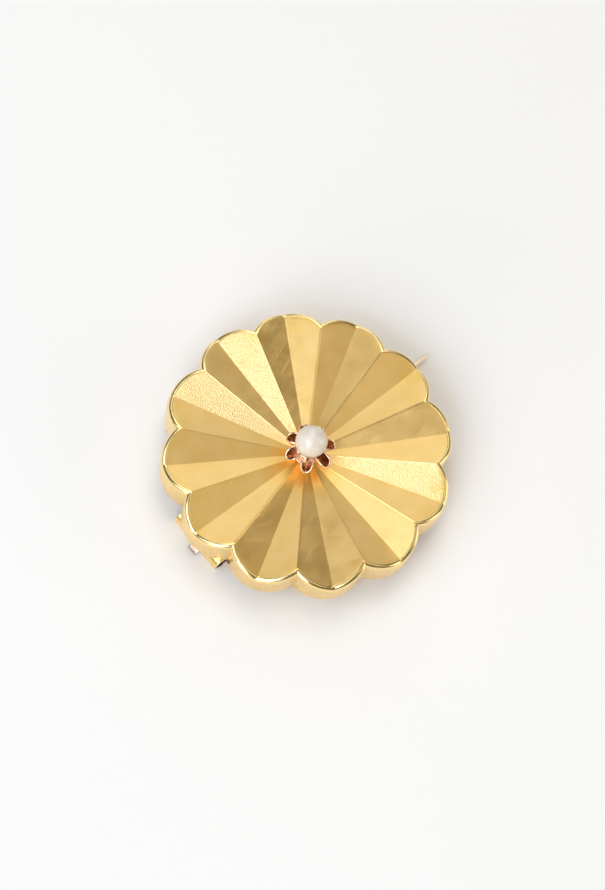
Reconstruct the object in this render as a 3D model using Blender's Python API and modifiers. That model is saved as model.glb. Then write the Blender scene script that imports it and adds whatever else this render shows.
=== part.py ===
"""Scalloped disc brooch: a pleated front, a pearl in seven scooped claws, a hinged pin and a C-catch.

The disc lies flat with its front up (+Z). The origin is the centre of the back plate's outer face.
The pin runs from the hinge at -X to its tip beyond the rim at +X. All lengths are in metres.
"""
import math

import bmesh
import bpy
from mathutils import Matrix, Vector

MM = 0.001

# Disc outline, seen from the front
PETALS = 12
PETAL_RADIUS = 14.48 * MM       # centre to the front sheet's edge at a petal's middle
NOTCH_DEPTH = 1.48 * MM         # how much nearer the centre the corners between petals are
ARC_STEPS = 12                  # straight steps along one petal's arc, an even number
ROUND_STEPS = 32                # straight steps round a turned piece or a rivet
FINE_STEPS = 20                 # and round a small hole or peg

# Heights above the back face
NOTCH_HEIGHT = 3.90 * MM        # top of the front sheet at a notch
VALLEY_DROP = 1.06 * MM         # how much lower it is at a petal's middle edge
CENTRE_DROP = 2.32 * MM         # how much lower it is where its pleats would meet

# Sheet and wall
SHEET_THICKNESS = 0.25 * MM
BACK_THICKNESS = 0.30 * MM
WALL_THICKNESS = 0.30 * MM
WALL_ROUND = 0.24 * MM          # radius of the wall's top outer edge
WALL_ROUND_STEPS = 4
WALL_RISE = 0.06 * MM           # wall's top above the front sheet
SEAM = 0.02 * MM                # gap kept between pieces that are soldered or pressed together
VENT_RADIUS = 0.40 * MM
VENT_OFFSET = 6.0 * MM          # vent hole's distance from the centre, towards -Y

# Setting
SPIGOT_RADIUS = 0.45 * MM
SPIGOT_LENGTH = 0.35 * MM       # how far the collet's spigot reaches below the front sheet
FOOT_THICKNESS = 0.16 * MM
STEM_RADIUS = 0.58 * MM
SEAT_RADIUS = 1.05 * MM         # rim of the cup that the pearl sits in
SEAT_LIP = 0.08 * MM            # width of the cup's rim
SEAT_FLAT = 0.42 * MM           # radius of the flat at the bottom of the cup
CUP_SIDE = 0.30 * MM            # height of the cup's side before it narrows to the stem
STEM_FLARE = 0.06 * MM          # how much wider the stem is where the cup starts
STEM_HEIGHT = 0.50 * MM
PEARL_RADIUS = 1.65 * MM
PEARL_STAND = 3.62 * MM         # pearl's centre above the point where the pleats would meet
PEG_RADIUS = 0.32 * MM
PEG_IN_PEARL = 1.80 * MM

# Claws: tapered scoops around the collet, open at the top and towards the pearl
CLAWS = 7
CLAW_PHASE = math.radians(15.5)
CLAW_THICKNESS = 0.15 * MM
CLAW_FOOT_DISTANCE = 1.02 * MM  # axis to the centre of the scoop's arc, at the foot
CLAW_FOOT_ARC = 0.27 * MM
CLAW_TOP_ARC = 0.52 * MM
CLAW_LEG = 0.56 * MM            # length of the straight legs towards the pearl, at the top
CLAW_GRIP_DROP = 0.85 * MM      # how far below the pearl's centre the legs end
CLAW_LIP_DROP = 1.48 * MM       # how far below the pearl's centre the outermost lip is
CLAW_CLEARANCE = 0.06 * MM      # between the legs' ends and the pearl
CLAW_FLARE = 1.3                # above 1, a claw stays narrow below and opens near its top
CLAW_LEG_SHARE = 0.25           # share of a claw's width, from either end, that is leg
CLAW_ACROSS_STEPS = 16
CLAW_UP_STEPS = 6

# Hinge
HINGE_INSET = 1.26 * MM         # hinge axis to the petals' outermost line
HINGE_Y = -0.30 * MM            # middle of the pin's knuckle
TUBE_RADIUS = 0.95 * MM
TUBE_BORE = 0.60 * MM
TUBE_EASE = 0.06 * MM           # width of the eased edge at a tube's ends
NEAR_TUBE = 1.95 * MM           # length of the tube on the -Y side
FAR_TUBE = 2.35 * MM            # length of the tube on the +Y side
KNUCKLE_LENGTH = 2.00 * MM
END_PLAY = 0.05 * MM            # gap between the knuckle and each tube
RUNNING_FIT = 0.04 * MM         # radial clearance between the knuckle and the rivet
RIVET_RECESS = 0.90 * MM        # how deep the rivet's ends lie inside the tubes
BASE_THICKNESS = 0.20 * MM
BASE_WIDTH = 1.50 * MM
TANG_LENGTH = 1.60 * MM         # hinge axis to the end of the tang
TANG_THICKNESS = 0.30 * MM
TANG_WIDTH = 1.10 * MM
PIN_OPEN = math.radians(70)     # the tang meets the back just past this angle
TANG_SPARE = math.radians(2)

# Pin
PIN_RADIUS = 0.38 * MM
PIN_TIP_RADIUS = 0.03 * MM
PIN_TAPER = 9.0 * MM            # length of the tapered end
TAPER_STEPS = 6
PIN_OVERHANG = 3.82 * MM        # how far the tip reaches past the petals
PIN_TIP_Y = 1.40 * MM

# Catch
CATCH_INSET = 2.68 * MM         # middle of the catch to the petals' outermost line
CATCH_WIDTH = 1.40 * MM         # along the pin
HOOK_THICKNESS = 0.36 * MM
HOOK_INNER_RADIUS = 0.52 * MM
HOOK_BEND = math.radians(195)   # how far round the pin the strip curls after its straight leg
HOOK_STEPS = 12
CATCH_BASE_SIZE = 2.40 * MM

FULL_TURN = 2 * math.pi
PETAL_ANGLE = FULL_TURN / PETALS
HALF_PETAL = PETAL_ANGLE / 2
NOTCH_RADIUS = PETAL_RADIUS - NOTCH_DEPTH
VALLEY_HEIGHT = NOTCH_HEIGHT - VALLEY_DROP
CENTRE_HEIGHT = NOTCH_HEIGHT - CENTRE_DROP
PEARL_HEIGHT = CENTRE_HEIGHT + PEARL_STAND
FOOT_RADIUS = CLAW_FOOT_DISTANCE + CLAW_FOOT_ARC + CLAW_THICKNESS / 2
HINGE_X = HINGE_INSET - PETAL_RADIUS
CATCH_X = PETAL_RADIUS - CATCH_INSET
PIN_TIP_X = PETAL_RADIUS + PIN_OVERHANG
BACK_SIDE = -BASE_THICKNESS - SEAM                     # outer face of the hinge's and catch's bases
HINGE_Z = BACK_SIDE - SEAM - TUBE_RADIUS
LOWEST = HINGE_Z - TUBE_RADIUS                         # what the brooch lies on

GOLD = (0.82, 0.60, 0.25)
ROSE_GOLD = (0.80, 0.47, 0.32)
PEARL_WHITE = (0.88, 0.84, 0.76)


def new_collection(name):
    """Make a collection in the scene."""
    collection = bpy.data.collections.new(name)
    bpy.context.scene.collection.children.link(collection)
    return collection


def new_material(name, colour, roughness, metallic):
    """Make a plain Principled material."""
    material = bpy.data.materials.new(name)
    material.use_nodes = True
    shader = material.node_tree.nodes["Principled BSDF"]
    shader.inputs["Base Color"].default_value = (*colour, 1.0)
    shader.inputs["Roughness"].default_value = roughness
    shader.inputs["Metallic"].default_value = metallic
    return material


def metal(name, colour, roughness):
    """Make a material for a metal piece."""
    return new_material(name + "_metal", colour, roughness, 1.0)


def add_object(name, data, collection, material=None):
    """Link an object that holds the given mesh or curve."""
    item = bpy.data.objects.new(name, data)
    collection.objects.link(item)
    if material is not None:
        data.materials.append(material)
    return item


def mesh_from(name, bm):
    """Turn a bmesh into mesh data with its faces pointing out."""
    bmesh.ops.recalc_face_normals(bm, faces=bm.faces[:])
    mesh = bpy.data.meshes.new(name)
    bm.to_mesh(mesh)
    bm.free()
    return mesh


def shade_round(item, angle=35):
    """Shade a mesh smooth except at its sharp edges."""
    item.data.shade_smooth()
    item.data.set_sharp_from_angle(angle=math.radians(angle))


def turned(name, profile, steps, collection, material):
    """Turn a profile of (radius, height) points about Z; an open profile starts and ends on the axis."""
    mesh = bpy.data.meshes.new(name)
    points = [(radius, 0.0, height) for radius, height in profile]
    edges = [(i, i + 1) for i in range(len(points) - 1)]
    if profile[0][0] > 0.0:
        edges.append((len(points) - 1, 0))
    mesh.from_pydata(points, edges, [])
    item = add_object(name, mesh, collection, material)
    screw = item.modifiers.new("turn", "SCREW")
    screw.axis = "Z"
    screw.steps = steps
    screw.render_steps = steps
    screw.use_merge_vertices = True
    screw.merge_threshold = 1e-7
    screw.use_smooth_shade = False
    return item


def rod(name, radius, length, steps, collection, material):
    """Round rod along Z, centred on its own origin."""
    bm = bmesh.new()
    bmesh.ops.create_cone(bm, cap_ends=True, segments=steps, radius1=radius, radius2=radius,
                          depth=length)
    return add_object(name, mesh_from(name, bm), collection, material)


def cut(item, cutter, operation="DIFFERENCE"):
    """Cut or join an object with a hidden helper."""
    cutter.hide_render = True
    cutter.display_type = "WIRE"
    boolean = item.modifiers.new(operation.lower(), "BOOLEAN")
    boolean.operation = operation
    boolean.solver = "EXACT"
    boolean.object = cutter


# ---------------------------------------------------------------- disc

def petal_arc(offset):
    """Centre distance, radius and half angle of a petal's arc, moved outwards by offset."""
    half_chord = NOTCH_RADIUS * math.sin(HALF_PETAL)
    rise = PETAL_RADIUS - NOTCH_RADIUS * math.cos(HALF_PETAL)
    radius = (half_chord ** 2 + rise ** 2) / (2 * rise)
    centre = PETAL_RADIUS - radius
    radius += offset
    across = centre * math.sin(HALF_PETAL)
    meet = centre * math.cos(HALF_PETAL) + math.sqrt(radius ** 2 - across ** 2)
    half_angle = math.atan2(meet * math.sin(HALF_PETAL), meet * math.cos(HALF_PETAL) - centre)
    return centre, radius, half_angle


def outline_point(step, offset):
    """Point of the scalloped outline; step counts along all the petals' arcs from a notch."""
    petal, part = divmod(step, ARC_STEPS)
    centre, radius, half_angle = petal_arc(offset)
    angle = half_angle * (2 * part / ARC_STEPS - 1)
    turn = petal * PETAL_ANGLE
    point = Vector((centre + radius * math.cos(angle), radius * math.sin(angle)))
    point.rotate(Matrix.Rotation(turn, 2))
    return point


def pleat_height(point):
    """Height of the front sheet's top: ridges run to the notches and valleys to the petals' middles."""
    from_valley = math.remainder(math.atan2(point.y, point.x), PETAL_ANGLE)
    from_notch = HALF_PETAL - abs(from_valley)
    ridge_slope = (NOTCH_HEIGHT - CENTRE_HEIGHT) / NOTCH_RADIUS
    valley_slope = (VALLEY_HEIGHT - CENTRE_HEIGHT) / PETAL_RADIUS
    slope = ridge_slope * math.sin(HALF_PETAL - from_notch) + valley_slope * math.sin(from_notch)
    return CENTRE_HEIGHT + point.length * slope / math.sin(HALF_PETAL)


def on_pleats(point, lift=0.0):
    """Put an outline point on the front sheet's top, or lift above it."""
    return Vector((point.x, point.y, pleat_height(point) + lift))


def make_front(collection):
    """Pleated front sheet: two flat facets for each petal, around a hole for the setting's spigot."""
    bm = bmesh.new()
    steps = PETALS * ARC_STEPS
    rim = [bm.verts.new(on_pleats(outline_point(step, 0.0))) for step in range(steps)]
    hole = []
    for i in range(2 * PETALS):
        angle = (i - 1) * HALF_PETAL
        reach = (SPIGOT_RADIUS + SEAM) / math.cos(HALF_PETAL / 2)
        hole.append(bm.verts.new(on_pleats(Vector((reach * math.cos(angle), reach * math.sin(angle))))))
    half = ARC_STEPS // 2
    for i in range(2 * PETALS):
        edge = [rim[(i * half + j) % steps] for j in range(half + 1)]
        bm.faces.new([hole[i]] + edge + [hole[(i + 1) % len(hole)]])
    below = bmesh.ops.extrude_face_region(bm, geom=bm.faces[:])
    moved = [part for part in below["geom"] if isinstance(part, bmesh.types.BMVert)]
    bmesh.ops.translate(bm, verts=moved, vec=(0.0, 0.0, -SHEET_THICKNESS))
    add_object("fluted_front", mesh_from("fluted_front", bm), collection,
               metal("fluted_front", GOLD, 0.35))


def wall_section(step):
    """Closed section of the wall: up its outer face, over the rounded edge and down its inner face."""
    outer = SEAM + WALL_THICKNESS
    bottom = BACK_THICKNESS + SEAM
    inner_point = outline_point(step, SEAM)
    top = pleat_height(inner_point) + WALL_RISE
    section = [(outer, bottom)]
    for i in range(WALL_ROUND_STEPS + 1):
        angle = math.radians(90) * i / WALL_ROUND_STEPS
        inset = WALL_ROUND * (1 - math.cos(angle))
        section.append((outer - inset, top - WALL_ROUND * (1 - math.sin(angle))))
    section.append((SEAM, top))
    section.append((SEAM, bottom))
    return [Vector((*outline_point(step, offset), height)) for offset, height in section]


def make_wall(collection):
    """Scalloped side wall, lofted along the outline because its top follows the pleats."""
    bm = bmesh.new()
    sections = []
    for step in range(PETALS * ARC_STEPS):
        sections.append([bm.verts.new(point) for point in wall_section(step)])
    for i, section in enumerate(sections):
        following = sections[(i + 1) % len(sections)]
        for j in range(len(section)):
            k = (j + 1) % len(section)
            bm.faces.new((section[j], following[j], following[k], section[k]))
    wall = add_object("rim_wall", mesh_from("rim_wall", bm), collection, metal("rim_wall", GOLD, 0.2))
    shade_round(wall)


def add_loop(curve, points):
    """Add a closed straight-sided outline to a 2D curve."""
    spline = curve.splines.new("POLY")
    spline.points.add(len(points) - 1)
    for target, point in zip(spline.points, points):
        target.co = (point[0], point[1], 0.0, 1.0)
    spline.use_cyclic_u = True


def flat_plate(name, loops, thickness, collection, material):
    """Flat plate of one outline and any holes, centred on its own plane."""
    curve = bpy.data.curves.new(name, "CURVE")
    curve.dimensions = "2D"
    curve.fill_mode = "BOTH"
    curve.extrude = thickness / 2
    for points in loops:
        add_loop(curve, points)
    return add_object(name, curve, collection, material)


def make_back(collection):
    """Flat back plate, flush with the wall, with the small vent that a soldered hollow needs."""
    outer = SEAM + WALL_THICKNESS
    edge = [outline_point(step, outer) for step in range(PETALS * ARC_STEPS)]
    vent = []
    for i in range(FINE_STEPS):
        angle = FULL_TURN * i / FINE_STEPS
        vent.append((VENT_RADIUS * math.cos(angle), VENT_RADIUS * math.sin(angle) - VENT_OFFSET))
    plate = flat_plate("back_plate", [edge, vent], BACK_THICKNESS, collection,
                       metal("back_plate", GOLD, 0.25))
    plate.location.z = BACK_THICKNESS / 2


# ---------------------------------------------------------------- setting

def foot_height():
    """Underside of the collet's foot, clear of the pleats' ridges under its rim."""
    ridge = Vector((math.cos(HALF_PETAL), math.sin(HALF_PETAL))) * FOOT_RADIUS
    return pleat_height(ridge) + SEAM


def seat_height():
    """Flat bottom of the pearl's cup."""
    return PEARL_HEIGHT - PEARL_RADIUS - 2 * SEAM


def seat_rim_height():
    """Top of the cup, just under the pearl's side."""
    drop = math.sqrt(PEARL_RADIUS ** 2 - SEAT_RADIUS ** 2)
    return PEARL_HEIGHT - drop - 4 * SEAM


def make_collet(collection):
    """Turned collet: cup for the pearl, waisted stem, foot on the front and spigot through it."""
    foot_bottom = foot_height()
    foot_top = foot_bottom + FOOT_THICKNESS
    spigot_end = CENTRE_HEIGHT - SHEET_THICKNESS - SPIGOT_LENGTH
    cup_bottom = seat_height()
    cup_rim = seat_rim_height()
    profile = [
        (0.0, cup_bottom),
        (SEAT_FLAT, cup_bottom),
        (SEAT_RADIUS - SEAT_LIP, cup_rim),
        (SEAT_RADIUS, cup_rim - SEAT_LIP / 2),
        (SEAT_RADIUS - STEM_FLARE, cup_rim - CUP_SIDE),
        (STEM_RADIUS + STEM_FLARE, foot_top + STEM_HEIGHT),
        (STEM_RADIUS, foot_top),
        (FOOT_RADIUS, foot_top),
        (FOOT_RADIUS, foot_bottom),
        (SPIGOT_RADIUS, foot_bottom),
        (SPIGOT_RADIUS, spigot_end),
        (0.0, spigot_end),
    ]
    collet = turned("setting_collet", profile, ROUND_STEPS, collection,
                    metal("setting_collet", ROSE_GOLD, 0.2))
    shade_round(collet)


def claw_top_distance():
    """Axis to the centre of a scoop's arc at its top, so that its legs end close to the pearl."""
    pearl_there = math.sqrt(PEARL_RADIUS ** 2 - CLAW_GRIP_DROP ** 2)
    leg_end = pearl_there + CLAW_CLEARANCE + CLAW_THICKNESS / 2
    return math.sqrt(leg_end ** 2 - CLAW_TOP_ARC ** 2) + CLAW_LEG


def claw_point(across, up):
    """Point on a claw's middle surface.

    across runs from -1 to 1, from the end of one leg round the scoop to the end of the other.
    up runs from 0 at the foot to 1 at the open top.
    """
    flare = up ** CLAW_FLARE
    arc = CLAW_FOOT_ARC + (CLAW_TOP_ARC - CLAW_FOOT_ARC) * flare
    distance = CLAW_FOOT_DISTANCE + (claw_top_distance() - CLAW_FOOT_DISTANCE) * flare
    side = math.copysign(1.0, across)
    on_leg = max(0.0, abs(across) - 1 + CLAW_LEG_SHARE) / CLAW_LEG_SHARE
    angle = side * math.radians(90) * min(1.0, abs(across) / (1 - CLAW_LEG_SHARE))
    x = distance + arc * math.cos(angle) - on_leg * CLAW_LEG * flare
    y = arc * math.sin(angle)
    lean = 0.5 - 0.5 * math.cos(math.radians(180) * abs(across))
    top = PEARL_HEIGHT - CLAW_LIP_DROP + (CLAW_LIP_DROP - CLAW_GRIP_DROP) * lean
    bottom = foot_height() + FOOT_THICKNESS + 2 * SEAM
    return Vector((x, y, bottom + (top - bottom) * up))


def claw_mesh():
    """One claw, lofted as an open scoop; Solidify gives it its thickness."""
    bm = bmesh.new()
    rows = []
    for j in range(CLAW_UP_STEPS + 1):
        row = []
        for i in range(CLAW_ACROSS_STEPS + 1):
            point = claw_point(2 * i / CLAW_ACROSS_STEPS - 1, j / CLAW_UP_STEPS)
            row.append(bm.verts.new(point))
        rows.append(row)
    for lower, upper in zip(rows, rows[1:]):
        for i in range(CLAW_ACROSS_STEPS):
            bm.faces.new((lower[i], lower[i + 1], upper[i + 1], upper[i]))
    return mesh_from("claw", bm)


def make_claws(collection):
    """Seven equal claws, evenly spaced round the collet."""
    mesh = claw_mesh()
    mesh.materials.append(metal("claw", ROSE_GOLD, 0.2))
    for i in range(CLAWS):
        claw = add_object(f"claw_{i + 1}", mesh, collection)
        claw.rotation_euler.z = CLAW_PHASE + FULL_TURN * i / CLAWS
        shell = claw.modifiers.new("thickness", "SOLIDIFY")
        shell.thickness = CLAW_THICKNESS
        shell.offset = 0.0
        shell.use_even_offset = True


def make_pearl(collection, cutters):
    """Pearl with the blind hole that its peg is cemented into, and the peg."""
    bm = bmesh.new()
    bmesh.ops.create_uvsphere(bm, u_segments=ROUND_STEPS, v_segments=FINE_STEPS, radius=PEARL_RADIUS)
    material = new_material("pearl_nacre", PEARL_WHITE, 0.3, 0.0)
    pearl = add_object("pearl", mesh_from("pearl", bm), collection, material)
    pearl.location.z = PEARL_HEIGHT
    pearl_bottom = PEARL_HEIGHT - PEARL_RADIUS
    hole_end = pearl_bottom + PEG_IN_PEARL + SEAM
    depth = hole_end - pearl_bottom + PEARL_RADIUS
    hole = rod("pearl_hole", PEG_RADIUS + SEAM, depth, FINE_STEPS, cutters, None)
    hole.location.z = hole_end - depth / 2
    cut(pearl, hole)
    peg_bottom = seat_height() + SEAM
    peg_length = pearl_bottom + PEG_IN_PEARL - peg_bottom
    peg = rod("pearl_peg", PEG_RADIUS, peg_length, FINE_STEPS, collection,
              metal("pearl_peg", ROSE_GOLD, 0.3))
    peg.location.z = peg_bottom + peg_length / 2


# ---------------------------------------------------------------- hinge and pin

def make_box(name, size, place, collection, material):
    """Box with its scale applied."""
    bm = bmesh.new()
    bmesh.ops.create_cube(bm, size=1.0, matrix=Matrix.Diagonal((*size, 1.0)))
    box = add_object(name, mesh_from(name, bm), collection, material)
    box.location = place
    return box


def tube_profile(length, bore):
    """Closed section of a tube with eased ends, outer side first, from top to bottom."""
    half = length / 2
    return [
        (TUBE_RADIUS - TUBE_EASE, half),
        (TUBE_RADIUS, half - TUBE_EASE),
        (TUBE_RADIUS, TUBE_EASE - half),
        (TUBE_RADIUS - TUBE_EASE, -half),
        (bore, -half),
        (bore, half),
    ]


def hinge_tube(name, start, length, bore, collection, material):
    """Tube around the hinge axis, from start towards +Y, with its origin on the axis."""
    tube = turned(name, tube_profile(length, bore), ROUND_STEPS, collection, material)
    tube.rotation_euler.x = math.radians(-90)
    tube.location = (HINGE_X, start + length / 2, HINGE_Z)
    shade_round(tube)
    return tube


def tang_rest_angle():
    """How far the tang hangs below level when closed, so that it meets a stop just past PIN_OPEN.

    Its stops are the edge of the hinge base and, for a long tang, the back plate itself.
    """
    half_tang = TANG_THICKNESS / 2
    corner = Vector((BASE_WIDTH / 2, BACK_SIDE - HINGE_Z))
    at_base = math.atan2(corner.y, corner.x) - math.asin(half_tang / corner.length)
    tang_corner = math.hypot(TANG_LENGTH, half_tang)
    at_plate = math.asin(min(1.0, -HINGE_Z / tang_corner)) - math.atan2(half_tang, TANG_LENGTH)
    return PIN_OPEN + TANG_SPARE - min(at_base, at_plate)


def make_hinge(collection, cutters):
    """Hinge base, two fixed tubes, the rivet through them and the pin's own knuckle."""
    near_end = HINGE_Y - KNUCKLE_LENGTH / 2 - END_PLAY
    far_end = HINGE_Y + KNUCKLE_LENGTH / 2 + END_PLAY
    near_start = near_end - NEAR_TUBE
    gold = metal("hinge", GOLD, 0.25)
    rivet_radius = TUBE_BORE - SEAM
    hinge_tube("hinge_tube_near", near_start, NEAR_TUBE, TUBE_BORE, collection, gold)
    hinge_tube("hinge_tube_far", far_end, FAR_TUBE, TUBE_BORE, collection, gold)
    base_length = far_end + FAR_TUBE - near_start - 2 * SEAM
    middle = (near_start + far_end + FAR_TUBE) / 2
    make_box("hinge_base", (BASE_WIDTH, base_length, BASE_THICKNESS),
             (HINGE_X, middle, BACK_SIDE + BASE_THICKNESS / 2), collection, gold)
    rivet_start = near_start + RIVET_RECESS
    rivet_length = far_end + FAR_TUBE - RIVET_RECESS - rivet_start
    rivet = rod("hinge_rivet", rivet_radius, rivet_length, ROUND_STEPS, collection,
                metal("hinge_rivet", ROSE_GOLD, 0.3))
    rivet.rotation_euler.x = math.radians(-90)
    rivet.location = (HINGE_X, rivet_start + rivet_length / 2, HINGE_Z)
    knuckle = hinge_tube("pin_knuckle", HINGE_Y - KNUCKLE_LENGTH / 2, KNUCKLE_LENGTH,
                         rivet_radius + RUNNING_FIT, collection, metal("pin_knuckle", ROSE_GOLD, 0.3))
    tang_start = (TUBE_RADIUS + rivet_radius) / 2
    size = (TANG_LENGTH - tang_start, TANG_WIDTH, TANG_THICKNESS)
    drop = tang_rest_angle()
    reach = (TANG_LENGTH + tang_start) / 2
    place = (HINGE_X - reach * math.cos(drop), HINGE_Y, HINGE_Z - reach * math.sin(drop))
    tang = make_box("tang", size, place, cutters, None)
    tang.rotation_euler.y = -drop
    cut(knuckle, tang, "UNION")


def pin_line():
    """The pin's root, its seat in the catch and its tip, along one straight line."""
    seat_z = LOWEST + HOOK_THICKNESS + SEAM + PIN_RADIUS
    slope = (seat_z - HINGE_Z) / (CATCH_X - HINGE_X)
    drift = (PIN_TIP_Y - HINGE_Y) / (PIN_TIP_X - HINGE_X)
    direction = Vector((1.0, drift, slope))
    axis = Vector((HINGE_X, HINGE_Y, HINGE_Z))

    def at(x):
        """Point of the pin's centre line at a given X."""
        return axis + direction * (x - HINGE_X)

    return at


def make_pin(collection):
    """Pin wire from the knuckle to a sharp tip beyond the rim."""
    at = pin_line()
    curve = bpy.data.curves.new("pin_stem", "CURVE")
    curve.dimensions = "3D"
    curve.bevel_depth = PIN_RADIUS
    curve.bevel_resolution = 4
    curve.use_fill_caps = True
    slant = abs(at(1.0).y - at(0.0).y)
    root_x = HINGE_X + TUBE_RADIUS + SEAM + PIN_RADIUS * slant
    taper_x = PIN_TIP_X - PIN_TAPER
    places = [(root_x, 1.0), ((root_x + taper_x) / 2, 1.0)]
    for i in range(TAPER_STEPS + 1):
        share = i / TAPER_STEPS
        radius = PIN_TIP_RADIUS + (PIN_RADIUS - PIN_TIP_RADIUS) * math.sqrt(1 - share ** 1.5)
        places.append((taper_x + PIN_TAPER * share, radius / PIN_RADIUS))
    spline = curve.splines.new("POLY")
    spline.points.add(len(places) - 1)
    for point, (x, thickness) in zip(spline.points, places):
        point.co = (*at(x), 1.0)
        point.radius = thickness
    add_object("pin_stem", curve, collection, metal("pin_stem", ROSE_GOLD, 0.25))


def make_catch(collection):
    """C-catch: a base plate and a strip that leaves it, passes under the pin and ends in a lip."""
    at = pin_line()
    seat = at(CATCH_X)
    gold = metal("catch", GOLD, 0.25)
    make_box("catch_base", (CATCH_BASE_SIZE, CATCH_BASE_SIZE, BASE_THICKNESS),
             (CATCH_X, seat.y, BACK_SIDE + BASE_THICKNESS / 2), collection, gold)
    middle_radius = HOOK_INNER_RADIUS + HOOK_THICKNESS / 2
    bend_z = LOWEST + HOOK_THICKNESS + HOOK_INNER_RADIUS
    path = [Vector((middle_radius, BACK_SIDE - SEAM - bend_z))]
    for i in range(HOOK_STEPS + 1):
        angle = -HOOK_BEND * i / HOOK_STEPS
        path.append(Vector((middle_radius * math.cos(angle), middle_radius * math.sin(angle))))
    outside = []
    inside = []
    for i, point in enumerate(path):
        before = path[max(i - 1, 0)]
        after = path[min(i + 1, len(path) - 1)]
        along = (after - before).normalized()
        across = Vector((-along.y, along.x)) * HOOK_THICKNESS / 2
        if i == 0:
            across = Vector((HOOK_THICKNESS / 2, 0.0))
        outside.append(point + across)
        inside.append(point - across)
    hook = flat_plate("catch_hook", [outside + inside[::-1]], CATCH_WIDTH, collection, gold)
    hook.rotation_euler = (math.radians(90), 0.0, math.radians(90))
    hook.location = (CATCH_X, seat.y, bend_z)


def main():
    """Build the brooch in an empty scene."""
    for item in list(bpy.data.objects):
        bpy.data.objects.remove(item, do_unlink=True)
    parts = new_collection("brooch")
    cutters = new_collection("cutters")
    make_front(parts)
    make_wall(parts)
    make_back(parts)
    make_collet(parts)
    make_claws(parts)
    make_pearl(parts, cutters)
    make_hinge(parts, cutters)
    make_pin(parts)
    make_catch(parts)


main()
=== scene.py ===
"""Looks of the scalloped brooch: fine surfaces, metals and nacre, floor, soft light and camera."""
import math

import bmesh
import bpy
from mathutils import Matrix, Vector, noise


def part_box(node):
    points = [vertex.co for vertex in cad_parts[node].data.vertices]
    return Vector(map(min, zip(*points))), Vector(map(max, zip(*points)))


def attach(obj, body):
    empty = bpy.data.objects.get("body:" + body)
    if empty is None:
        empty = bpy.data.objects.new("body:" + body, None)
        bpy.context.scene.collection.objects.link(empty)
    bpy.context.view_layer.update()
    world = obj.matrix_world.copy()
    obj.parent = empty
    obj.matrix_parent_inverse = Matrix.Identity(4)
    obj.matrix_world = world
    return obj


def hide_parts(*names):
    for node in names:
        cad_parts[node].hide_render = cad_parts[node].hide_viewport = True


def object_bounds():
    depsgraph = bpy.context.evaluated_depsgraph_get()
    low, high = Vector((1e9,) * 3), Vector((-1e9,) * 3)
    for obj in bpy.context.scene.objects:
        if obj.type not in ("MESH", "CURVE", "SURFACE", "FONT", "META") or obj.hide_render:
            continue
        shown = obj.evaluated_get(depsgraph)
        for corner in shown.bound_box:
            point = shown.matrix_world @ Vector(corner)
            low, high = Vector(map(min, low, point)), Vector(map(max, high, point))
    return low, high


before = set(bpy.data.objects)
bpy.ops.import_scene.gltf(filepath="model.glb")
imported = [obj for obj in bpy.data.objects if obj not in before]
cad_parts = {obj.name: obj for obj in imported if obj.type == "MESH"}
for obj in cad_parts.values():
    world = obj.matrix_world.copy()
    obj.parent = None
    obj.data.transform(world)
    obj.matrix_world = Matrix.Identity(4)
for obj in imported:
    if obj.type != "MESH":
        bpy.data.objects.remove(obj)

MM = 0.001
FULL_TURN = 2 * math.pi
ON_AXIS = 0.0001 * MM               # a turned profile starts and ends this close to its axis
SEAM = 0.02 * MM                    # gap between pieces that touch

CAD_BOUNDS = [list(corner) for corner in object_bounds()]
FLOOR_HEIGHT = CAD_BOUNDS[0][2]


# ---------------------------------------------------------------- sizes

FRONT_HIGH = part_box("fluted_front")[1]
PEARL_LOW, PEARL_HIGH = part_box("pearl")
NEAR_LOW, NEAR_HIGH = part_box("hinge_tube_near")
FAR_LOW, FAR_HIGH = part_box("hinge_tube_far")
BASE_LOW, BASE_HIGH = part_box("hinge_base")
RIVET_LOW, RIVET_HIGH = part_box("hinge_rivet")
PIN_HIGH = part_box("pin_stem")[1]
HOOK_LOW, HOOK_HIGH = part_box("catch_hook")
CATCH_LOW, CATCH_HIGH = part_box("catch_base")

# Disc
PETALS = 12
PETAL_ANGLE = FULL_TURN / PETALS
HALF_PETAL = PETAL_ANGLE / 2
ARC_STEPS = 48                      # steps along one petal's arc, an even number
ARC_CROWDING = 0.75                 # steps lie closer together near the notches
PETAL_RADIUS = FRONT_HIGH[0]
NOTCH_RADIUS = PETAL_RADIUS - 1.48 * MM
NOTCH_HEIGHT = FRONT_HIGH[2]
VALLEY_HEIGHT = NOTCH_HEIGHT - 1.06 * MM
CENTRE_HEIGHT = NOTCH_HEIGHT - 2.32 * MM
FRONT_THICKNESS = 0.25 * MM
FRONT_ROWS = 44                     # rows of faces from the middle to the rim
FRONT_HOLE = 0.47 * MM              # around the setting's spigot
FRONT_INSET = 0.155 * MM            # the sheet's edge lies just inside the wall's lip
FRONT_EASE = 0.03 * MM              # rounding of the sheet's edge
FRONT_EDGE_STEPS = 5
CREASE_START = 4 * MM               # beads and buckling fade out inside this distance
CREASE_INNERMOST = 0.2 * MM         # roundings grow no wider in angle nearer the middle than this
RIDGE_EASE = 0.008 * MM
RIDGE_BEAD = 0.026 * MM             # fine raised line left along each fold
RIDGE_BEAD_WIDTH = 0.05 * MM
VALLEY_EASE = 0.004 * MM
BUCKLE_SIZE = 2.6 * MM              # the hand-pressed sheet is not quite flat
BUCKLE_DEPTH = 0.009 * MM
STIPPLED_HIGHLIGHT_FACETS = (5, 7, 20)               # facets left with a coarser matt and painted paler as a painted highlight, counted from +X
GLOW_REACH = (2.6 * MM, 5.6 * MM)   # a painted glow of orange light reflected from the setting, round its foot
# The painted glow is strongest on the side where the light falls.
GLOW_SIDE = math.radians(215)
GLOW_SHARE = 0.55
STAIN_REACH = 3.0 * MM              # faint stains lie this near the rim
STAIN_SIZE = 2.4 * MM
STAIN_SHARE = 0.7
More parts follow.
